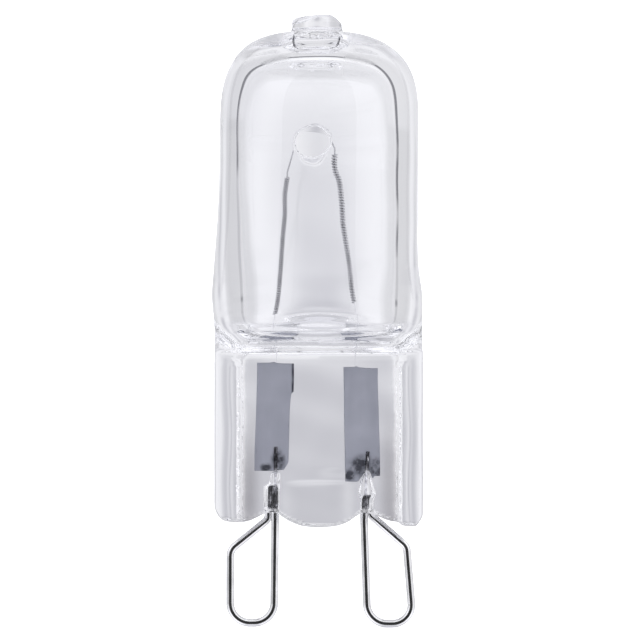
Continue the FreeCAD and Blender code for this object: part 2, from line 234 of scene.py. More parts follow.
def surface_net(f, xs, ys, zs):
    """Quad mesh of f = 0 on a grid: one vertex per crossed cell, one quad per crossed edge."""
    val = f(xs[:, None, None], ys[None, :, None], zs[None, None, :])
    neg = val < 0
    n = np.array(val.shape)
    count = np.zeros(n - 1, np.int8)
    for i in (0, 1):
        for j in (0, 1):
            for k in (0, 1):
                count += neg[i:n[0] - 1 + i, j:n[1] - 1 + j, k:n[2] - 1 + k]
    act = (count > 0) & (count < 8)
    cells = np.argwhere(act)
    index = np.full(act.shape, -1, np.int64)
    index[act] = np.arange(len(cells))
    axes = (xs, ys, zs)
    pos, num = np.zeros((len(cells), 3)), np.zeros(len(cells))
    for ax in range(3):
        o1, o2 = (ax + 1) % 3, (ax + 2) % 3
        for b in (0, 1):
            for c in (0, 1):
                a0 = cells.copy()
                a0[:, o1] += b
                a0[:, o2] += c
                a1 = a0.copy()
                a1[:, ax] += 1
                f0, f1 = val[tuple(a0.T)], val[tuple(a1.T)]
                hit = (f0 < 0) != (f1 < 0)
                t = np.where(hit, f0 / np.where(hit, f0 - f1, 1.0), 0.0)
                pt = np.stack([axes[i][a0[:, i]] for i in range(3)], 1)
                pt[:, ax] += t * (axes[ax][a1[:, ax]] - axes[ax][a0[:, ax]])
                pos[hit] += pt[hit]
                num[hit] += 1
    pos /= num[:, None]
    quads = []
    for ax in range(3):
        o1, o2 = (ax + 1) % 3, (ax + 2) % 3
        lo = [slice(None)] * 3
        hi = [slice(None)] * 3
        lo[ax], hi[ax] = slice(0, -1), slice(1, None)
        cross = neg[tuple(lo)] != neg[tuple(hi)]
        e = np.argwhere(cross)
        e = e[(e[:, o1] > 0) & (e[:, o2] > 0) & (e[:, o1] < n[o1] - 1) & (e[:, o2] < n[o2] - 1)]
        out = neg[tuple(e.T)]
        d1, d2 = np.zeros(3, int), np.zeros(3, int)
        d1[o1], d2[o2] = 1, 1
        q = np.stack([index[tuple((e - d1 - d2).T)], index[tuple((e - d2).T)], index[tuple(e.T)], index[tuple((e - d1).T)]], 1)
        q[~out] = q[~out][:, ::-1]
        quads.append(q)
    return pos, np.concatenate(quads)


def relax(f, p, quads, rounds, most):
    a = np.concatenate([quads[:, 0], quads[:, 1], quads[:, 2], quads[:, 3]])
    b = np.concatenate([quads[:, 1], quads[:, 2], quads[:, 3], quads[:, 0]])
    deg = np.bincount(a, minlength=len(p)) + np.bincount(b, minlength=len(p))
    for _ in range(rounds):
        s = np.stack([np.bincount(a, p[b, i], len(p)) + np.bincount(b, p[a, i], len(p)) for i in range(3)], 1)
        p = 0.5 * p + 0.5 * s / deg[:, None]
        p = onto(f, p, 1, most)
    return p


# ---------------------------------------------------------------------------
# mesh helpers
# ---------------------------------------------------------------------------
def make_mesh(name, verts, faces, material, normals=None):
    """verts in millimetres; faces is a list of index lists."""
    mesh = bpy.data.meshes.new(name)
    mesh.from_pydata((np.asarray(verts) * MM).tolist(), [], faces if isinstance(faces, list) else faces.tolist())
    mesh.polygons.foreach_set("use_smooth", [True] * len(mesh.polygons))
    mesh.update()
    if normals is not None:
        mesh.normals_split_custom_set_from_vertices(normals.tolist())
    obj = bpy.data.objects.new(name, mesh)
    bpy.context.scene.collection.objects.link(obj)
    mesh.materials.append(material)
    return obj


def bent_path(points, radii, step=0.06):
    """Straight runs with round bends, as dense points."""
    pts = [np.array(p, float) for p in points]
    out = [pts[0]]

    def run(to):
        d = np.linalg.norm(to - out[-1])
        k = max(1, int(math.ceil(d / 0.12)))
        s = out[-1]
        for i in range(1, k + 1):
            out.append(s + (to - s) * (i / k))

    for i in range(1, len(pts) - 1):
        d1 = (pts[i] - pts[i - 1]) / np.linalg.norm(pts[i] - pts[i - 1])
        d2 = (pts[i + 1] - pts[i]) / np.linalg.norm(pts[i + 1] - pts[i])
        turn = math.acos(max(-1.0, min(1.0, float(d1 @ d2))))
        if turn < 1e-3:
            continue
        cut = min(radii[i] * math.tan(turn / 2), 0.45 * np.linalg.norm(pts[i] - pts[i - 1]), 0.45 * np.linalg.norm(pts[i + 1] - pts[i]))
        r = cut / math.tan(turn / 2)
        p1 = pts[i] - d1 * cut
        side = d2 - d1 * float(d1 @ d2)
        side /= np.linalg.norm(side)
        run(p1)
        k = max(3, int(math.ceil(r * turn / step)))
        for j in range(1, k + 1):
            t = turn * j / k
            out.append(p1 + d1 * (r * math.sin(t)) + side * (r * (1 - math.cos(t))))
    run(pts[-1])
    return np.array(out)


def frames(path):
    """Tangent and two normals along a path, without twist."""
    t = np.gradient(path, axis=0)
    t /= np.linalg.norm(t, axis=1, keepdims=True)
    n = np.zeros_like(path)
    seed = np.array([0.0, 1.0, 0.0]) if abs(t[0][1]) < 0.9 else np.array([1.0, 0.0, 0.0])
    n[0] = seed - t[0] * (seed @ t[0])
    n[0] /= np.linalg.norm(n[0])
    for i in range(1, len(path)):
        v = n[i - 1] - t[i] * (n[i - 1] @ t[i])
        n[i] = v / np.linalg.norm(v)
    return t, n, np.cross(t, n)


def tube(path, radius, sides=24, round_ends=0.35, flip=False, oval=None):
    """Closed tube; radius may vary along it; ends are slightly rounded off."""
    t, n, b = frames(path)
    r = np.full(len(path), float(radius)) if np.isscalar(radius) else np.asarray(radius, float)
    rings, centre = [], []
    e = round_ends
    if e > 0:
        for a in (0.15, 0.45, 0.75):
            rings.append((path[0] - t[0] * r[0] * e * math.cos(a * PI / 2), r[0] * (1 - e + e * math.sin(a * PI / 2)), 0))
    for i in range(len(path)):
        rings.append((path[i], r[i], i))
    if e > 0:
        for a in (0.75, 0.45, 0.15):
            rings.append((path[-1] + t[-1] * r[-1] * e * math.cos(a * PI / 2), r[-1] * (1 - e + e * math.sin(a * PI / 2)), len(path) - 1))
    ang = np.arange(sides) * 2 * PI / sides
    verts = []
    for c, rad, i in rings:
        k = 1.0 if oval is None else oval[i]
        verts.append(c + rad * (np.cos(ang)[:, None] * n[i] + np.sin(ang)[:, None] * b[i] * k))
    verts = np.concatenate(verts)
    m = len(rings)
    faces = []
    for i in range(m - 1):
        for j in range(sides):
            k = (j + 1) % sides
            faces.append([i * sides + j, i * sides + k, (i + 1) * sides + k, (i + 1) * sides + j])
    faces.append(list(range(sides))[::-1])
    faces.append([(m - 1) * sides + j for j in range(sides)])
    if flip:
        faces = [f[::-1] for f in faces]
    return verts, faces


def joined(parts):
    verts, faces, base = [], [], 0
    for v, f in parts:
        verts.append(np.asarray(v))
        faces += [[i + base for i in q] for q in f]
        base += len(v)
    return np.concatenate(verts), faces


# ---------------------------------------------------------------------------
# materials
# ---------------------------------------------------------------------------
def node_material(name):
    mat = bpy.data.materials.new(name)
    mat.use_nodes = True
    nt = mat.node_tree
    bsdf = next(n for n in nt.nodes if n.type == "BSDF_PRINCIPLED")
    return mat, nt, bsdf


def add(nt, kind, **values):
    node = nt.nodes.new(kind)
    for key, v in values.items():
        if key in node.inputs:
            node.inputs[key].default_value = v
        else:
            setattr(node, key, v)
    return node


def noise(nt, coord, scale, detail=3.0, rough=0.5):
    n = add(nt, "ShaderNodeTexNoise")
    n.inputs["Scale"].default_value = scale
    n.inputs["Detail"].default_value = detail
    n.inputs["Roughness"].default_value = rough
    nt.links.new(coord, n.inputs["Vector"])
    return n.outputs["Fac"]


def ramp(nt, fac, stops):
    r = add(nt, "ShaderNodeValToRGB")
    els = r.color_ramp.elements
    while len(els) < len(stops):
        els.new(0.5)
    for el, (pos, col) in zip(els, stops):
        el.position = pos
        el.color = (*col, 1.0) if len(col) == 3 else col
    nt.links.new(fac, r.inputs["Fac"])
    return r.outputs["Color"]


def remap(nt, fac, lo, hi):
    m = add(nt, "ShaderNodeMapRange")
    m.inputs["To Min"].default_value = lo
    m.inputs["To Max"].default_value = hi
    nt.links.new(fac, m.inputs["Value"])
    return m.outputs["Result"]


def object_coord(nt, stretch=(1.0, 1.0, 1.0)):
    tc = add(nt, "ShaderNodeTexCoord")
    mp = add(nt, "ShaderNodeMapping")
    mp.inputs["Scale"].default_value = stretch
    nt.links.new(tc.outputs["Object"], mp.inputs["Vector"])
    return mp.outputs["Vector"]


def bump(nt, bsdf, height, strength, distance):
    b = add(nt, "ShaderNodeBump")
    b.inputs["Strength"].default_value = strength
    b.inputs["Distance"].default_value = distance
    nt.links.new(height, b.inputs["Height"])
    nt.links.new(b.outputs["Normal"], bsdf.inputs["Normal"])


def quartz_material():
    mat, nt, s = node_material("quartz")
    co = object_coord(nt)
    drawn = object_coord(nt, (1.0, 1.0, 0.12))
    tint = noise(nt, co, 90.0, 2.0)
    # the jaws leave the pressed faces satin; the blown bulb is fire-polished
    place = add(nt, "ShaderNodeTexCoord")
    split = add(nt, "ShaderNodeSeparateXYZ")
    nt.links.new(place.outputs["Object"], split.inputs["Vector"])
    across = add(nt, "ShaderNodeMath", operation="ABSOLUTE")
    nt.links.new(split.outputs["X"], across.inputs[0])

    def band(value, a, b, lo, hi):
        m = add(nt, "ShaderNodeMapRange", interpolation_type="SMOOTHSTEP")
        m.inputs["From Min"].default_value = a
        m.inputs["From Max"].default_value = b
        m.inputs["To Min"].default_value = lo
        m.inputs["To Max"].default_value = hi
        nt.links.new(value, m.inputs["Value"])
        return m.outputs["Result"]

    def times(a, b):
        m = add(nt, "ShaderNodeMath", operation="MULTIPLY")
        nt.links.new(a, m.inputs[0])
        nt.links.new(b, m.inputs[1])
        return m.outputs[0]

    # the glass at the lower corners of the seal is greyed, in patches, fading upwards
    side = times(band(across.outputs[0], 0.0036, 0.0047, 0.0, 1.0), band(across.outputs[0], 0.0051, 0.0054, 1.0, 0.0))
    corner_grey_mask = times(times(side, band(split.outputs["Z"], 0.0012, 0.0085, 1.0, 0.0)), remap(nt, noise(nt, co, 420.0, 3.0), 0.75, 1.1))
    clear = add(nt, "ShaderNodeMix", data_type="RGBA")
    nt.links.new(corner_grey_mask, clear.inputs[0])
    nt.links.new(ramp(nt, tint, [(0.3, (0.985, 0.986, 0.994)), (0.7, (0.996, 0.997, 1.0))]), clear.inputs[6])
    clear.inputs[7].default_value = (0.64, 0.63, 0.64, 1.0)
    # painted shade: the glass is darkened a little where the jaws let the end bulge out
    low = times(band(across.outputs[0], 0.0019, 0.0026, 1.0, 0.0), band(split.outputs["Z"], 0.0016, 0.0021, 1.0, 0.0))
    bulge_painted_shade = add(nt, "ShaderNodeMix", data_type="RGBA", blend_type="MULTIPLY")
    nt.links.new(low, bulge_painted_shade.inputs[0])
    nt.links.new(clear.outputs[2], bulge_painted_shade.inputs[6])
    bulge_painted_shade.inputs[7].default_value = (0.972, 0.972, 0.972, 1.0)
    # painted shade: the cut end is greyed right at its edge, except at the two wire mouths
    along = add(nt, "ShaderNodeMapRange")
    along.inputs["From Min"].default_value = -0.0072
    along.inputs["From Max"].default_value = 0.00725
    nt.links.new(split.outputs["X"], along.inputs["Value"])
    ends = ramp(nt, along.outputs["Result"], [((x + 7.2) / 14.45, ((z + 1.0) / 2.4,) * 3) for x, z in zip(SEAL_END.t.tolist(), SEAL_END.v.tolist())])
    drop = add(nt, "ShaderNodeMath", operation="MULTIPLY_ADD")
    nt.links.new(ends, drop.inputs[0])
    drop.inputs[1].default_value = -2.4
    drop.inputs[2].default_value = 1.0
    above = add(nt, "ShaderNodeMath", operation="MULTIPLY_ADD")
    nt.links.new(split.outputs["Z"], above.inputs[0])
    above.inputs[1].default_value = 1000.0
    nt.links.new(drop.outputs[0], above.inputs[2])
    mouths = times(band(across.outputs[0], 0.0025, 0.0028, 0.0, 1.0), band(across.outputs[0], 0.0036, 0.0039, 1.0, 0.0))
    rim = times(band(above.outputs[0], 0.03, 0.20, 1.0, 0.0), band(mouths, 0.0, 1.0, 1.0, 0.0))
    grey = add(nt, "ShaderNodeMix", data_type="RGBA", blend_type="MULTIPLY")
    nt.links.new(rim, grey.inputs[0])
    nt.links.new(bulge_painted_shade.outputs[2], grey.inputs[6])
    grey.inputs[7].default_value = (0.52, 0.52, 0.53, 1.0)
    nt.links.new(grey.outputs[2], s.inputs["Base Color"])
    pressed = times(band(split.outputs["Z"], 0.0100, 0.0106, 1.0, 0.0), band(across.outputs[0], 0.0046, 0.0053, 1.0, 0.0))
    satin = times(pressed, remap(nt, noise(nt, co, 330.0, 4.0), 0.02, 0.09))
    # the melted cap is not quite clear
    deep = add(nt, "ShaderNodeMath", operation="ABSOLUTE")
    nt.links.new(split.outputs["Y"], deep.inputs[0])
    cap = times(times(band(split.outputs["Z"], 0.03060, 0.03105, 0.0, 1.0), band(split.outputs["Z"], 0.0319, 0.0321, 1.0, 0.0)), band(deep.outputs[0], 0.0016, 0.0024, 0.0, 1.0))
    shift = add(nt, "ShaderNodeMath", operation="ADD")
    nt.links.new(split.outputs["X"], shift.inputs[0])
    shift.inputs[1].default_value = 0.00017
    beside = add(nt, "ShaderNodeMath", operation="ABSOLUTE")
    nt.links.new(shift.outputs[0], beside.inputs[0])
    cap = times(cap, band(beside.outputs[0], 0.0017, 0.0024, 0.0, 1.0))
    melted = times(cap, remap(nt, noise(nt, co, 500.0, 3.0), 0.30, 0.42))
    either = add(nt, "ShaderNodeMath", operation="ADD")
    nt.links.new(satin, either.inputs[0])
    nt.links.new(melted, either.inputs[1])
    polish = add(nt, "ShaderNodeMath", operation="ADD")
    nt.links.new(either.outputs[0], polish.inputs[0])
    nt.links.new(remap(nt, noise(nt, co, 260.0, 3.0), 0.0, 0.012), polish.inputs[1])
    nt.links.new(polish.outputs[0], s.inputs["Roughness"])
    bump(nt, s, noise(nt, drawn, 420.0, 2.0), 0.05, 0.00004)
    s.inputs["IOR"].default_value = 1.458
    s.inputs["Transmission Weight"].default_value = 1.0
    return mat


def pin_material():
    mat, nt, s = node_material("plated_wire")
    drawn = object_coord(nt, (1.0, 1.0, 0.06))
    fine = noise(nt, drawn, 9000.0, 3.0)
    blotch = noise(nt, object_coord(nt), 700.0, 4.0)
    bright = ramp(nt, blotch, [(0.35, (0.72, 0.72, 0.72)), (0.65, (0.90, 0.90, 0.90))])
    burnt = ramp(nt, noise(nt, object_coord(nt), 2600.0, 4.0, 0.7), [(0.40, (0.012, 0.012, 0.014)), (0.54, (0.07, 0.07, 0.08)), (0.62, (0.30, 0.30, 0.32)), (0.70, (0.72, 0.72, 0.74))])
    # blued by the sealing heat where it runs inside the quartz
    place = add(nt, "ShaderNodeTexCoord")
    split = add(nt, "ShaderNodeSeparateXYZ")
    nt.links.new(place.outputs["Object"], split.inputs["Vector"])
    heat = add(nt, "ShaderNodeMapRange")
    heat.inputs["From Min"].default_value = 0.00000
    heat.inputs["From Max"].default_value = 0.00035
    nt.links.new(split.outputs["Z"], heat.inputs["Value"])
    mix = add(nt, "ShaderNodeMix", data_type="RGBA")
    nt.links.new(heat.outputs["Result"], mix.inputs[0])
    nt.links.new(bright, mix.inputs[6])
    nt.links.new(burnt, mix.inputs[7])
    # the slim ends stay grey between the thick wire and the foils
    right = add(nt, "ShaderNodeMath", operation="GREATER_THAN")
    nt.links.new(split.outputs["X"], right.inputs[0])
    right.inputs[1].default_value = 0.0
    lift = add(nt, "ShaderNodeMath", operation="MULTIPLY_ADD")
    nt.links.new(right.outputs[0], lift.inputs[0])
    lift.inputs[1].default_value = 0.00068
    nt.links.new(split.outputs["Z"], lift.inputs[2])
    begin = add(nt, "ShaderNodeMapRange")
    begin.inputs["From Min"].default_value = 0.00172
    begin.inputs["From Max"].default_value = 0.00190
    nt.links.new(lift.outputs[0], begin.inputs["Value"])
    stop = add(nt, "ShaderNodeMapRange")
    stop.inputs["From Min"].default_value = 0.00300
    stop.inputs["From Max"].default_value = 0.00265
    nt.links.new(split.outputs["Z"], stop.inputs["Value"])
    part = add(nt, "ShaderNodeMath", operation="MULTIPLY")
    nt.links.new(begin.outputs["Result"], part.inputs[0])
    nt.links.new(stop.outputs["Result"], part.inputs[1])
    slim = add(nt, "ShaderNodeMix", data_type="RGBA")
    nt.links.new(part.outputs[0], slim.inputs[0])
    nt.links.new(mix.outputs[2], slim.inputs[6])
    nt.links.new(ramp(nt, noise(nt, object_coord(nt), 3200.0, 3.0), [(0.35, (0.42, 0.42, 0.45)), (0.65, (0.82, 0.82, 0.85))]), slim.inputs[7])
    nt.links.new(slim.outputs[2], s.inputs["Base Color"])
    nt.links.new(remap(nt, fine, 0.07, 0.17), s.inputs["Roughness"])
    bump(nt, s, fine, 0.15, 0.000008)
    s.inputs["Metallic"].default_value = 1.0
    return mat


def foil_material():
    mat, nt, s = node_material("rolled_foil")
    rolled = object_coord(nt, (1.0, 1.0, 0.05))
    fine = noise(nt, rolled, 5200.0, 4.0, 0.6)
    blotch = noise(nt, object_coord(nt), 480.0, 4.0)
    plain = ramp(nt, blotch, [(0.3, (0.395, 0.408, 0.465)), (0.7, (0.475, 0.488, 0.55))])
    # scorched around the welds; the folded edge is given painted shade separately
    place = add(nt, "ShaderNodeTexCoord")
    stain = None
    for x, z, rx, rz in ((-2.75, 3.45, 0.62, 0.95), (-3.55, 2.95, 0.55, 0.45), (2.75, 3.10, 1.05, 0.95), (3.75, 2.95, 0.55, 0.95), (2.0, 2.45, 0.6, 0.6)):
        at = add(nt, "ShaderNodeMapping")
        at.inputs["Location"].default_value = (-x / rx, 0.0, -z / rz)
        at.inputs["Scale"].default_value = (1000.0 / rx, 0.0, 1000.0 / rz)
        nt.links.new(place.outputs["Object"], at.inputs["Vector"])
        far = add(nt, "ShaderNodeVectorMath", operation="LENGTH")
        nt.links.new(at.outputs["Vector"], far.inputs[0])
        near = add(nt, "ShaderNodeMapRange", interpolation_type="SMOOTHSTEP")
        for key, v in (("From Min", 0.35), ("From Max", 1.0), ("To Min", 1.0), ("To Max", 0.0)):
            near.inputs[key].default_value = v
        nt.links.new(far.outputs["Value"], near.inputs["Value"])
        if stain is None:
            stain = near.outputs["Result"]
        else:
            most = add(nt, "ShaderNodeMath", operation="MAXIMUM")
            nt.links.new(stain, most.inputs[0])
            nt.links.new(near.outputs["Result"], most.inputs[1])
            stain = most.outputs[0]
    patchy = add(nt, "ShaderNodeMath", operation="MULTIPLY")
    nt.links.new(stain, patchy.inputs[0])
    nt.links.new(ramp(nt, noise(nt, object_coord(nt), 2100.0, 4.0, 0.65), [(0.36, (0.15, 0.15, 0.15)), (0.55, (0.95, 0.95, 0.95))]), patchy.inputs[1])
    mix = add(nt, "ShaderNodeMix", data_type="RGBA")
    nt.links.new(patchy.outputs[0], mix.inputs[0])
    nt.links.new(plain, mix.inputs[6])
    mix.inputs[7].default_value = (0.06, 0.062, 0.075, 1.0)
    # the folded edge lies in its own shade
    split = add(nt, "ShaderNodeSeparateXYZ")
    nt.links.new(place.outputs["Object"], split.inputs["Vector"])

    def limit(axis, a, b):
        m = add(nt, "ShaderNodeMapRange", interpolation_type="SMOOTHSTEP")
        m.inputs["From Min"].default_value = a
        m.inputs["From Max"].default_value = b
        nt.links.new(split.outputs[axis], m.inputs["Value"])
        return m.outputs["Result"]

    fold = add(nt, "ShaderNodeMath", operation="MULTIPLY")
    nt.links.new(limit("X", -0.00187, -0.00184), fold.inputs[0])
    nt.links.new(limit("X", -0.00166, -0.00169), fold.inputs[1])
    folded = add(nt, "ShaderNodeMath", operation="MULTIPLY")
    nt.links.new(fold.outputs[0], folded.inputs[0])
    nt.links.new(limit("Z", 0.0079, 0.0080), folded.inputs[1])
    shaded = add(nt, "ShaderNodeMix", data_type="RGBA")
    nt.links.new(folded.outputs[0], shaded.inputs[0])
    nt.links.new(mix.outputs[2], shaded.inputs[6])
    nt.links.new(ramp(nt, noise(nt, object_coord(nt), 1500.0, 3.0), [(0.35, (0.10, 0.10, 0.125)), (0.65, (0.24, 0.245, 0.285))]), shaded.inputs[7])
    nt.links.new(shaded.outputs[2], s.inputs["Base Color"])
    nt.links.new(remap(nt, fine, 0.46, 0.60), s.inputs["Roughness"])
    bump(nt, s, fine, 0.2, 0.00001)
    s.inputs["Metallic"].default_value = 1.0
    return mat


def wire_material(name, low, high):
    mat, nt, s = node_material(name)
    co = object_coord(nt)
    fine = noise(nt, co, 12000.0, 3.0)
    nt.links.new(ramp(nt, noise(nt, co, 900.0, 2.0), [(0.3, (low, low, low + 0.02)), (0.7, (high, high, high + 0.02))]), s.inputs["Base Color"])
    nt.links.new(remap(nt, fine, 0.30, 0.50), s.inputs["Roughness"])
    bump(nt, s, fine, 0.3, 0.000006)
    s.inputs["Metallic"].default_value = 1.0
    return mat


QUARTZ, PIN, FOIL = quartz_material(), pin_material(), foil_material()
TUNGSTEN, LEAD = wire_material("drawn_tungsten", 0.44, 0.58), wire_material("drawn_lead", 0.78, 0.90)

# ---------------------------------------------------------------------------
# envelope
# ---------------------------------------------------------------------------
H = 0.17
xs = np.arange(-7.5, 7.4, H)
ys = np.arange(-7.0, 7.0, H)
zs = np.concatenate([np.arange(a, b - 0.5 * h, h) for a, b, h in (
    (-1.4, 2.2, 0.15), (2.2, 10.1, 0.164), (10.1, 13.9, 0.10), (13.9, 16.1, 0.130), (16.1, 22.9, 0.37),
    (22.9, 25.9, 0.12), (25.9, 29.4, 0.28), (29.4, 33.58, 0.11))])
pos, quads = surface_net(glass, xs, ys, zs)
pos = onto(glass, pos, 2, 0.08)
pos = relax(glass, pos, quads, 4, 0.06)
pos = onto(glass, pos, 3, 0.05)
nrm = gradient(glass, pos)
nrm /= np.linalg.norm(nrm, axis=1, keepdims=True)



def void(rings, sides=26):
    """Closed empty space in the quartz; rings are (x, y, z, half length, half width, turn)."""
    ang = np.arange(sides) * 2 * PI / sides
    verts, faces = [], []
    for x, y, z, p_, q_, turn in rings:
        u, w = p_ * np.cos(ang), q_ * np.sin(ang)
        verts.append(np.stack([x + u * math.cos(turn) - w * math.sin(turn), y + u * math.sin(turn) + w * math.cos(turn), np.full(sides, z)], 1))
    m = len(rings)
    for i in range(m - 1):
        for j in range(sides):
            k = (j + 1) % sides
            faces.append([i * sides + j, (i + 1) * sides + j, (i + 1) * sides + k, i * sides + k])
    low, top = m * sides, m * sides + 1
    verts.append(np.array([(rings[0][0], rings[0][1], rings[0][2] - 0.01), (rings[-1][0], rings[-1][1], rings[-1][2] + 0.01)]))
    for j in range(sides):
        k = (j + 1) % sides
        faces.append([low, j, k])
        faces.append([top, (m - 1) * sides + k, (m - 1) * sides + j])
    v = np.concatenate(verts)
    n = np.zeros_like(v)
    for f in faces:
        c = np.cross(v[f[1]] - v[f[0]], v[f[2]] - v[f[0]])
        n[f] += c
    return v, faces, n / np.linalg.norm(n, axis=1, keepdims=True)


LEFT_VOID = [(-3.21, 0.165, 0.12, 0.20, 0.12, 2.55), (-3.21, 0.165, 0.15, 0.45, 0.26, 2.55), (-3.21, 0.165, 0.22, 0.60, 0.34, 2.55),
             (-3.20, 0.165, 0.60, 0.63, 0.36, 2.55), (-3.19, 0.165, 1.10, 0.63, 0.37, 2.55), (-3.18, 0.160, 1.55, 0.64, 0.38, 2.55),
             (-3.16, 0.145, 1.74, 0.62, 0.38, 2.55), (-3.10, 0.10, 1.84, 0.52, 0.37, 2.55), (-3.00, 0.04, 1.94, 0.42, 0.36, 2.55),
             (-2.95, 0.0, 2.10, 0.37, 0.35, 2.55), (-2.94, -0.05, 2.40, 0.34, 0.22, 3.14), (-2.93, -0.05, 2.60, 0.28, 0.17, 3.14), (-2.93, -0.05, 2.70, 0.18, 0.15, 3.14)]
RIGHT_VOID = [(3.15, 0.22, 0.10, 0.20, 0.12, 0.88), (3.15, 0.22, 0.13, 0.45, 0.26, 0.88), (3.15, 0.22, 0.20, 0.59, 0.34, 0.88),
              (3.15, 0.22, 0.55, 0.61, 0.36, 0.88), (3.16, 0.22, 0.90, 0.64, 0.38, 0.88), (3.16, 0.20, 1.05, 0.70, 0.45, 0.80),
              (3.14, 0.12, 1.30, 0.66, 0.50, 0.50), (3.11, 0.05, 1.60, 0.55, 0.45, 0.30), (3.10, -0.02, 1.90, 0.45, 0.36, 0.0),
              (3.10, -0.05, 2.25, 0.34, 0.22, 0.0), (3.11, -0.05, 2.55, 0.24, 0.17, 0.0), (3.12, -0.05, 2.70, 0.16, 0.14, 0.0)]
quads = quads.tolist()
for rows in (LEFT_VOID, RIGHT_VOID):
    v, f, n = void(rows)
    quads += [[i + len(pos) for i in q] for q in f]
    pos, nrm = np.concatenate([pos, v]), np.concatenate([nrm, n])

envelope = make_mesh("quartz_bulb", pos, quads, QUARTZ, nrm)
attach(envelope, "root")
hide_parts("quartz_envelope")

# ---------------------------------------------------------------------------
# painted shade: a dark thin shell round the melted-shut exhaust bore, shown only where seen edge-on, stands in for the
# dark lines at the bore's edges
# ---------------------------------------------------------------------------
def bore_shade_material():
    mat, nt, s = node_material("painted_bore_edge_shade")
    co = object_coord(nt, (1.0, 1.0, 0.3))
    # dark base colour, shown only at grazing angles: painted shade lines at the bore's edges
    nt.links.new(ramp(nt, noise(nt, co, 2500.0, 3.0), [(0.3, (0.10, 0.10, 0.12)), (0.7, (0.24, 0.24, 0.27))]), s.inputs["Base Color"])
    s.inputs["Roughness"].default_value = 0.6
    edge = add(nt, "ShaderNodeLayerWeight")
    edge.inputs["Blend"].default_value = 0.5
    see = ramp(nt, edge.outputs["Facing"], [(0.60, (0.0, 0.0, 0.0)), (0.76, (0.55, 0.55, 0.55))])
    clear = add(nt, "ShaderNodeBsdfTransparent")
    mix = add(nt, "ShaderNodeMixShader")
    out = next(n for n in nt.nodes if n.type == "OUTPUT_MATERIAL")
    nt.links.new(see, mix.inputs[0])
    nt.links.new(clear.outputs[0], mix.inputs[1])
    nt.links.new(s.outputs[0], mix.inputs[2])
    nt.links.new(mix.outputs[0], out.inputs["Surface"])
    return mat


SHADE_SHELL_R, SHADE_SHELL_LOW, SHADE_SHELL_TOP = 1.23, 30.45, 32.20
ang = np.arange(72) * 2 * PI / 72
verts, faces = [], []
for r, z in [(SHADE_SHELL_R, zz) for zz in np.linspace(SHADE_SHELL_LOW, SHADE_SHELL_TOP, 9)] + [(SHADE_SHELL_R - 0.02, zz) for zz in np.linspace(SHADE_SHELL_TOP, SHADE_SHELL_LOW, 9)]:
    verts.append(np.stack([TIP_X + r * np.cos(ang), r * np.sin(ang), np.full(72, z)], 1))
for i in range(18):
    for j in range(72):
        a, b, k = i * 72, ((i + 1) % 18) * 72, (j + 1) % 72
        faces.append([a + j, a + k, b + k, b + j])
bore_shade = make_mesh("bore_edge_shade_shell", np.concatenate(verts), faces, bore_shade_material())
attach(bore_shade, "root")

# ---------------------------------------------------------------------------
# painted highlights: white specks along the edge of the pressed flats stand in for glints
# ---------------------------------------------------------------------------
def glint_speck_material():
    mat, nt, s = node_material("painted_glint_quartz")
    co = object_coord(nt)
    # white base colour: painted highlight specks
    nt.links.new(ramp(nt, noise(nt, co, 6000.0, 3.0), [(0.3, (0.90, 0.90, 0.93)), (0.7, (0.99, 0.99, 1.0))]), s.inputs["Base Color"])
    s.inputs["Roughness"].default_value = 0.7
    s.inputs["IOR"].default_value = 1.458
    s.inputs["Transmission Weight"].default_value = 0.25
    return mat


def ball(rows=6, sides=10):
    v = [(0.0, 0.0, 1.0)] + [(math.sin(PI * i / rows) * math.cos(2 * PI * j / sides), math.sin(PI * i / rows) * math.sin(2 * PI * j / sides), math.cos(PI * i / rows))
                             for i in range(1, rows) for j in range(sides)] + [(0.0, 0.0, -1.0)]
    f = [[0, 1 + j, 1 + (j + 1) % sides] for j in range(sides)]
    for i in range(rows - 2):
        a, b = 1 + i * sides, 1 + (i + 1) * sides
        f += [[a + j, b + j, b + (j + 1) % sides, a + (j + 1) % sides] for j in range(sides)]
    a, end = 1 + (rows - 2) * sides, len(v) - 1
    f += [[a + j, end, a + (j + 1) % sides] for j in range(sides)]
    return np.array(v), f


spread = np.random.default_rng(7)
unit, unit_faces = ball()
spots = []
for face, rows in ((-1.0, ((-5.42, 0.2, 5.6, 34), (-5.42, 5.6, 9.0, 9), (5.36, 0.2, 9.8, 52))), (1.0, ((5.42, 1.0, 3.0, 2), (-5.42, 5.0, 7.0, 2)))):
    for x, low, top, count in rows:
        for z in np.sort(spread.uniform(low, top, count)):
            spots.append((x + spread.normal(0.0, 0.035), face * 1.93, z))
seat = onto(outside, np.array(spots), 8, 0.1)
glint_specks = []
for c in seat:
    size = spread.uniform(0.6, 1.0) * np.array([0.085, 0.05, spread.uniform(0.08, 0.20)])
    glint_specks.append((c + np.array([0.0, 0.015 * np.sign(c[1]), 0.0]) + unit * size, unit_faces))
v, f = joined(glint_specks)
glint_speck_mesh = make_mesh("painted_glint_specks", v, f, glint_speck_material())
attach(glint_speck_mesh, "root")

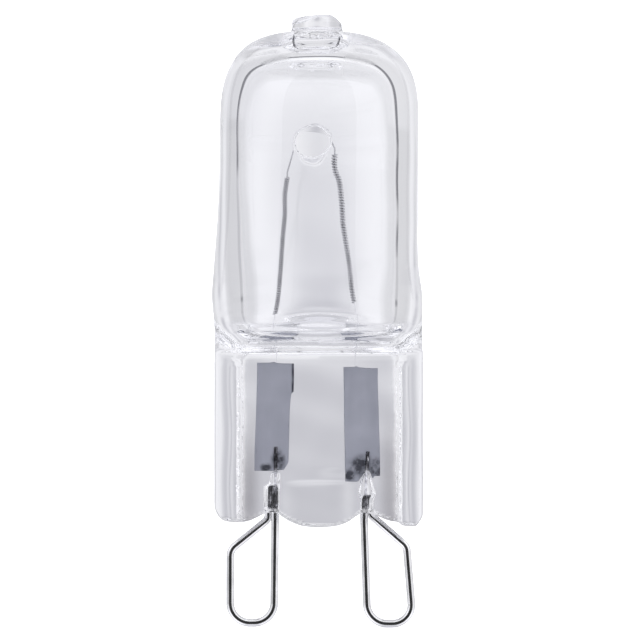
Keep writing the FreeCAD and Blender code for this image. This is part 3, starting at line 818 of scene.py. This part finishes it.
# ---------------------------------------------------------------------------
# pins
# ---------------------------------------------------------------------------
WIRE_R, SLIM_R = 0.26, 0.115
LEFT = [(-2.90, 0.0, 4.33), (-3.04, 0.0, -7.37), (-5.95, 0.0, -7.37), (-5.94, 0.0, -2.52), (-3.42, 0.36, -0.50), (-3.36, 0.36, 1.67)]
RIGHT = [(3.20, 0.0, 4.00), (2.95, 0.0, -0.20), (3.19, 0.0, -7.43), (6.22, 0.0, -7.43), (5.80, 0.0, -2.30), (3.31, 0.44, -0.14), (3.36, 0.44, 0.93)]
for name, pts, bends in (("pin_loop_left", LEFT, [0, 1.38, 1.38, 0.85, 0.60, 0]),
                         ("pin_loop_right", RIGHT, [0, 8.0, 1.36, 1.36, 0.75, 0.60, 0])):
    path = bent_path(pts, bends)
    slim = np.where(np.arange(len(path)) < len(path) // 3, np.clip((path[:, 2] - (1.64 if "left" in name else 0.93)) / 0.16, 0.0, 1.0), 0.0)
    v, f = tube(path, WIRE_R - (WIRE_R - SLIM_R) * slim, 28)
    wire = make_mesh(name, v, f, PIN)
    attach(wire, "root")
    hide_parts("contact_loop_left" if "left" in name else "contact_loop_right")

# ---------------------------------------------------------------------------
# foils: thin rolled strips with their torn lower edges
# ---------------------------------------------------------------------------
def foil(name, left, right, bottom, top, y0, wave, cols=40, rows=100, thick=0.03):
    """left/right give x by z, bottom/top give z by x; wave gives the depth of the sheet."""
    grid = np.zeros((rows + 1, cols + 1, 3))
    for i in range(rows + 1):
        v = i / rows
        for j in range(cols + 1):
            u = j / cols
            z = bottom[0] + (top[0] - bottom[0]) * v
            x = float(left(z) + (right(z) - left(z)) * u)
            zb, zt = float(bottom[1](x)), float(top[1](x))
            z = zb + (zt - zb) * v
            x = float(left(z) + (right(z) - left(z)) * u)
            grid[i, j] = (x, y0 + wave(x, z), z)
    n = (rows + 1) * (cols + 1)
    front = grid.reshape(-1, 3).copy()
    back = front.copy()
    front[:, 1] -= thick / 2
    back[:, 1] += thick / 2
    at = lambda i, j: i * (cols + 1) + j
    faces = []
    for i in range(rows):
        for j in range(cols):
            q = [at(i, j), at(i, j + 1), at(i + 1, j + 1), at(i + 1, j)]
            faces.append(q)
            faces.append([k + n for k in q[::-1]])
    rim = [at(0, j) for j in range(cols)] + [at(i, cols) for i in range(rows)] + [at(rows, j) for j in range(cols, 0, -1)] + [at(i, 0) for i in range(rows, 0, -1)]
    for k in range(len(rim)):
        a, b = rim[k], rim[(k + 1) % len(rim)]
        faces.append([b, a, a + n, b + n])
    return np.concatenate([front, back]), faces


def left_wave(x, z):
    return (0.02 * math.sin(1.1 * z + 0.8 * x) + 0.10 * max(0.0, (x + 1.90) / 0.2) ** 2 * (1.0 if z > 7.9 else 0.0)
            + 0.05 * math.exp(-((x + 2.35) / 0.35) ** 2 - ((z - 3.4) / 0.7) ** 2))


def right_wave(x, z):
    return 0.02 * math.sin(1.3 * z - 0.9 * x + 1.0) + 0.07 * math.exp(-((x - 3.0) / 0.5) ** 2 - ((z - 2.6) / 0.8) ** 2)


v, f = foil("foil_left", Curve([(2.7, -4.33), (10.0, -4.16)]),
            Curve([(2.7, -2.50), (2.95, -2.30), (3.46, -2.07), (4.33, -2.04), (7.90, -1.87), (8.02, -1.72), (10.0, -1.70)]),
            (2.76, Curve([(-4.4, 2.76), (-3.2, 2.74), (-2.4, 2.84), (-1.7, 2.9)])),
            (9.96, Curve([(-4.2, 9.96), (-3.3, 9.97), (-3.05, 10.03), (-2.8, 9.95), (-1.7, 9.92)])), 0.135, left_wave)
left_foil = make_mesh("foil_left", v, f, FOIL)
v, f = foil("foil_right", Curve([(2.0, 1.70), (9.7, 1.59)]), Curve([(2.0, 4.03), (9.7, 3.88)]),
            (2.2, Curve([(1.6, 2.03), (2.46, 2.05), (2.86, 2.50), (3.13, 2.90), (3.36, 2.66), (3.54, 2.28), (3.66, 2.43), (4.1, 2.44)])),
            (9.66, Curve([(1.5, 9.69), (2.3, 9.69), (2.45, 9.74), (2.6, 9.67), (3.9, 9.59)])), 0.135, right_wave)
right_foil = make_mesh("foil_right", v, f, FOIL)
for obj, node in ((left_foil, "seal_foil_left"), (right_foil, "seal_foil_right")):
    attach(obj, "root")
    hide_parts(node)

# ---------------------------------------------------------------------------
# inner leads
# ---------------------------------------------------------------------------
LEADS = {
    "left": [(-2.90, 0.17, 8.60), (-2.86, 0.17, 11.10), (-3.06, 0.0, 12.35), (-3.05, 0.0, 13.30)],
    "right": [(2.38, 0.17, 8.40), (2.36, 0.17, 11.10), (2.54, 0.0, 12.65), (2.39, 0.0, 14.10)],
}
for side, pts in LEADS.items():
    v, f = tube(bent_path(pts, [0.3] * len(pts)), 0.025, 12)
    wire = make_mesh("lead_" + side, v, f, LEAD)
    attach(wire, "root")
    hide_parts("inner_lead_" + side)

# ---------------------------------------------------------------------------
# filament: wound legs and the plain strand over the post
# ---------------------------------------------------------------------------
LEFT_COIL = [(-3.07, 13.12), (-2.96, 14.12), (-2.70, 16.45), (-2.53, 18.12), (-2.33, 19.78), (-2.31, 21.11), (-2.13, 22.24)]
RIGHT_COIL = [(2.40, 13.95), (2.18, 14.99), (1.98, 16.38), (1.72, 17.92), (1.53, 19.25), (1.47, 20.58), (1.32, 22.11), (1.10, 22.60), (1.02, 23.28), (1.08, 23.81)]
BRIDGE = [(-2.14, 22.18), (-2.12, 22.60), (-1.72, 24.05), (-1.36, 25.20), (-0.43, 25.62), (0.60, 25.25), (1.08, 24.20), (1.078, 23.75)]


def helix(axis_pts, coil_r, wire_r, pitch, per_turn=16):
    axis = bent_path([(x, 0.0, z) for x, z in axis_pts], [1.5] * len(axis_pts), 0.05)
    seg = np.r_[0.0, np.cumsum(np.linalg.norm(np.diff(axis, axis=0), axis=1))]
    turns = seg[-1] / pitch
    s = np.linspace(0.0, seg[-1], int(turns * per_turn))
    c = np.stack([np.interp(s, seg, axis[:, i]) for i in range(3)], 1)
    t, n, b = frames(c)
    ang = 2 * PI * s / pitch + 0.25 * np.sin(2.3 * s)
    r = coil_r - wire_r
    return c + r * (np.cos(ang)[:, None] * n + np.sin(ang)[:, None] * b)


coils = []
for pts, r, w, p in ((LEFT_COIL, 0.165, 0.054, 0.135), (RIGHT_COIL, 0.192, 0.052, 0.176)):
    coils.append(tube(helix(pts, r, w, p), w, 8))
coils.append(tube(bent_path([(x, 0.0, z) for x, z in BRIDGE], [0.35] * len(BRIDGE)), 0.045, 12))
v, f = joined(coils)
filament = make_mesh("filament", v, f, TUNGSTEN)
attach(filament, "root")
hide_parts("filament_coil")

# ---------------------------------------------------------------------------
# stage, light, camera
# ---------------------------------------------------------------------------
def stage_material(name, grey, glow):
    mat, nt, s = node_material(name)
    nt.links.new(ramp(nt, noise(nt, object_coord(nt), 3.0, 2.0), [(0.3, (grey - 0.01,) * 3), (0.7, (grey + 0.01,) * 3)]), s.inputs["Base Color"])
    s.inputs["Roughness"].default_value = 0.9
    s.inputs["Emission Color"].default_value = (1, 1, 1, 1)
    s.inputs["Emission Strength"].default_value = glow
    return mat


FLOOR_Z = -7.70
ring = [(math.cos(2 * PI * k / 64), math.sin(2 * PI * k / 64)) for k in range(64)]
verts = [(0.0, 0.0, FLOOR_Z)] + [(r * x, r * y, FLOOR_Z) for r in (60.0, 400.0, 1500.0) for x, y in ring]
faces = [[0, 1 + k, 1 + (k + 1) % 64] for k in range(64)]
for i in range(2):
    faces += [[1 + 64 * i + k, 1 + 64 * (i + 1) + k, 1 + 64 * (i + 1) + (k + 1) % 64, 1 + 64 * i + (k + 1) % 64] for k in range(64)]
floor = make_mesh("floor", verts, faces, stage_material("pale_floor", 0.90, 0.55))
verts = [(1500.0 * math.cos(e) * x, 1500.0 * math.cos(e) * y, FLOOR_Z - 5.0 + 1500.0 * math.sin(e)) for e in np.linspace(0.0, 1.45, 12) for x, y in ring]
faces = [[64 * i + (k + 1) % 64, 64 * i + k, 64 * (i + 1) + k, 64 * (i + 1) + (k + 1) % 64] for i in range(11) for k in range(64)]
faces.append([64 * 11 + k for k in range(63, -1, -1)])
backdrop = make_mesh("backdrop", verts, faces, stage_material("white_backdrop", 0.90, 1.1))
for obj in (floor, backdrop):
    obj.visible_glossy = False
    obj.visible_transmission = False
    obj.visible_shadow = False
backdrop.visible_diffuse = False
# a dark card behind the camera, which only polished metal reflects
verts = [(0.0, -330.0, 12.8)] + [(r * x, -330.0, 12.8 + r * y) for r in (120.0, 310.0) for x, y in ring]
faces = [[0, 1 + (k + 1) % 64, 1 + k] for k in range(64)]
faces += [[1 + k, 1 + (k + 1) % 64, 65 + (k + 1) % 64, 65 + k] for k in range(64)]
card = make_mesh("dark_card", verts, faces, stage_material("matt_black", 0.016, 0.0))
card.visible_camera = False
card.visible_diffuse = False
card.visible_transmission = False
card.visible_shadow = False

world = bpy.data.worlds.new("studio")
bpy.context.scene.world = world
world.use_nodes = True
wn = world.node_tree
bg = next(n for n in wn.nodes if n.type == "BACKGROUND")
tc = wn.nodes.new("ShaderNodeTexCoord")
sep = wn.nodes.new("ShaderNodeSeparateXYZ")
wn.links.new(tc.outputs["Generated"], sep.inputs["Vector"])
angle = wn.nodes.new("ShaderNodeMath")
angle.operation = "ARCCOSINE"
wn.links.new(sep.outputs["Y"], angle.inputs[0])
facing = wn.nodes.new("ShaderNodeMapRange")
facing.inputs["From Max"].default_value = PI
wn.links.new(angle.outputs[0], facing.inputs["Value"])
tent = wn.nodes.new("ShaderNodeValToRGB")
# degrees away from the backdrop, grey level
stops = [(0, 0.93), (17, 0.93), (23, 0.74), (30, 0.67), (48, 0.69), (57, 0.74), (61, 0.87), (75, 1.05), (180, 1.10)]
els = tent.color_ramp.elements
while len(els) < len(stops):
    els.new(0.5)
for el, (p, g) in zip(els, stops):
    el.position = p / 180.0
    el.color = (g * 0.962, g * 0.964, g, 1.0)
wn.links.new(facing.outputs["Result"], tent.inputs["Fac"])


def calc(op, a, b=None):
    m = wn.nodes.new("ShaderNodeMath")
    m.operation = op
    for k, v in enumerate((a, b)):
        if v is None:
            continue
        if isinstance(v, (int, float)):
            m.inputs[k].default_value = v
        else:
            wn.links.new(v, m.inputs[k])
    return m.outputs[0]


def fade(value, a, b, lo, hi):
    m = wn.nodes.new("ShaderNodeMapRange")
    m.interpolation_type = "SMOOTHSTEP"
    for key, v in (("From Min", a), ("From Max", b), ("To Min", lo), ("To Max", hi)):
        m.inputs[key].default_value = v
    wn.links.new(value, m.inputs["Value"])
    return m.outputs["Result"]


def tinted(factor, under, colour):
    m = wn.nodes.new("ShaderNodeMix")
    m.data_type = "RGBA"
    m.blend_type = "MULTIPLY"
    wn.links.new(factor, m.inputs[0])
    wn.links.new(under, m.inputs[6])
    m.inputs[7].default_value = (*colour, 1.0)
    return m.outputs[2]


# the backdrop falls off softly behind the object, lower half first
px = calc("MULTIPLY", sep.outputs["X"], 1.0 / 0.070)
pz = calc("MULTIPLY", calc("SUBTRACT", sep.outputs["Z"], -0.055), 1.0 / 0.080)
q = calc("ADD", calc("MULTIPLY", px, px), calc("MULTIPLY", pz, pz))
spot = calc("MULTIPLY", calc("EXPONENT", calc("MULTIPLY", q, -0.5)), fade(sep.outputs["Y"], 0.5, 0.8, 0.0, 1.0))
sky = tinted(spot, tent.outputs["Color"], (0.64, 0.64, 0.665))
sky = tinted(fade(sep.outputs["Z"], -0.22, -0.08, 1.0, 0.0), sky, (0.92, 0.92, 0.93))
aside = calc("ABSOLUTE", sep.outputs["X"])
down = fade(sep.outputs["Z"], -0.50, -0.22, 1.0, 0.0)
sky = tinted(calc("MULTIPLY", down, fade(aside, 0.10, 0.30, 0.0, 1.0)), sky, (1.24, 1.24, 1.24))
sky = tinted(calc("MULTIPLY", down, fade(aside, 0.10, 0.30, 1.0, 0.0)), sky, (0.93, 0.93, 0.945))
sky = tinted(fade(sep.outputs["Z"], -0.85, -0.55, 1.0, 0.0), sky, (0.94, 0.94, 0.95))
sky = tinted(calc("MULTIPLY", fade(sep.outputs["Z"], 0.075, 0.12, 0.0, 1.0), fade(angle.outputs[0], math.radians(18.0), math.radians(27.0), 0.0, 1.0)), sky, (1.12, 1.12, 1.12))
sky = tinted(fade(sep.outputs["X"], -0.45, -0.06, 1.0, 0.0), sky, (0.965, 0.965, 0.972))
sky = tinted(calc("MULTIPLY", fade(sep.outputs["Z"], 0.025, 0.060, 0.0, 1.0), fade(sep.outputs["X"], -0.22, -0.08, 1.0, 0.0)), sky, (0.95, 0.95, 0.955))
# and lighter on the left, below and above the pins' height
left = fade(sep.outputs["X"], -0.50, -0.20, 1.0, 0.0)
sky = tinted(calc("MULTIPLY", left, fade(sep.outputs["Z"], -0.30, -0.14, 1.0, 0.0)), sky, (1.16, 1.16, 1.16))
sky = tinted(calc("MULTIPLY", calc("MULTIPLY", left, fade(sep.outputs["Z"], 0.20, 0.40, 0.0, 1.0)), fade(sep.outputs["Y"], 0.30, 0.50, 1.0, 0.0)), sky, (1.15, 1.15, 1.15))
# the room is dimmer low to the left of the camera
dim = calc("MULTIPLY", fade(sep.outputs["Y"], 0.05, 0.35, 1.0, 0.0), fade(sep.outputs["X"], -0.30, 0.05, 1.0, 0.0))
dim = calc("MULTIPLY", dim, calc("MULTIPLY", fade(sep.outputs["Z"], -0.125, -0.095, 0.0, 1.0), fade(sep.outputs["Z"], -0.050, -0.030, 1.0, 0.0)))
sky = tinted(dim, sky, (0.58, 0.58, 0.58))
# a dark frame round the backdrop, open towards the table
edge = calc("MULTIPLY", fade(angle.outputs[0], math.radians(51.2), math.radians(53.0), 0.0, 1.0), fade(angle.outputs[0], math.radians(56.0), math.radians(59.0), 1.0, 0.0))
edge = calc("MULTIPLY", edge, fade(sep.outputs["Z"], 0.004, 0.050, 0.30, 1.0))
sky = tinted(edge, sky, (0.22, 0.22, 0.24))
wn.links.new(sky, bg.inputs["Color"])
bg.inputs["Strength"].default_value = 1.0

scene = bpy.context.scene
scene.view_settings.view_transform = "Standard"
scene.cycles.max_bounces = 64
scene.cycles.transmission_bounces = 64
scene.cycles.glossy_bounces = 64

cam_data = bpy.data.cameras.new("camera")
cam = bpy.data.objects.new("camera", cam_data)
scene.collection.objects.link(cam)
cam_data.lens = 200.0
cam_data.sensor_width = 36.0
cam_data.clip_start = 0.005
cam_data.clip_end = 10.0
cam.location = (0.03 * MM, -236.8 * MM, 12.79 * MM)
cam.rotation_euler = (PI / 2, 0.0, 0.0)
scene.camera = cam
